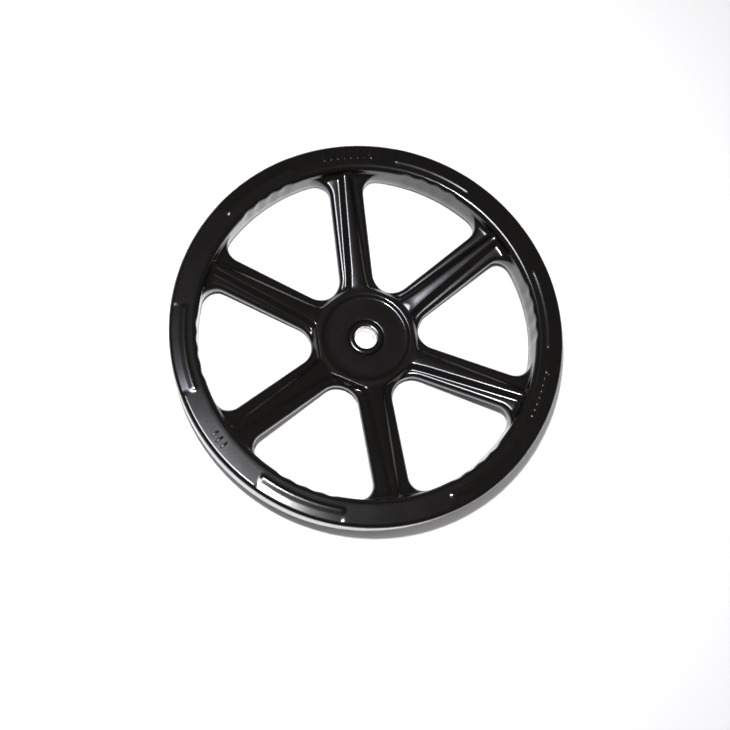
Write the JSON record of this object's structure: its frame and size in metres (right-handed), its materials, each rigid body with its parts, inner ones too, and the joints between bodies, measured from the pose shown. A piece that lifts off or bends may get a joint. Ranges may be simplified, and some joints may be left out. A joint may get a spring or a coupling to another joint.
{
  "type": "pressed steel valve handwheel",
  "caption": "Dished pressed-steel handwheel with ridged spokes, a down-turned rim and a welded hub bush, for turning a valve stem by hand",
  "frame": {"origin": "middle of the hub bush's lower face, on the wheel's axis", "axes": "+Z along the wheel's axis towards the operator, +X along the middle of one spoke"},
  "size_m": [0.3, 0.3, 0.0447],
  "materials": {
    "black_coat": "high gloss",
    "bare_steel": "turned"
  },
  "bodies": {
    "root": {"wheel_pressing": "black_coat", "hub_bush": "black_coat", "hub_weld": "black_coat"}
  },
  "joints": []
}
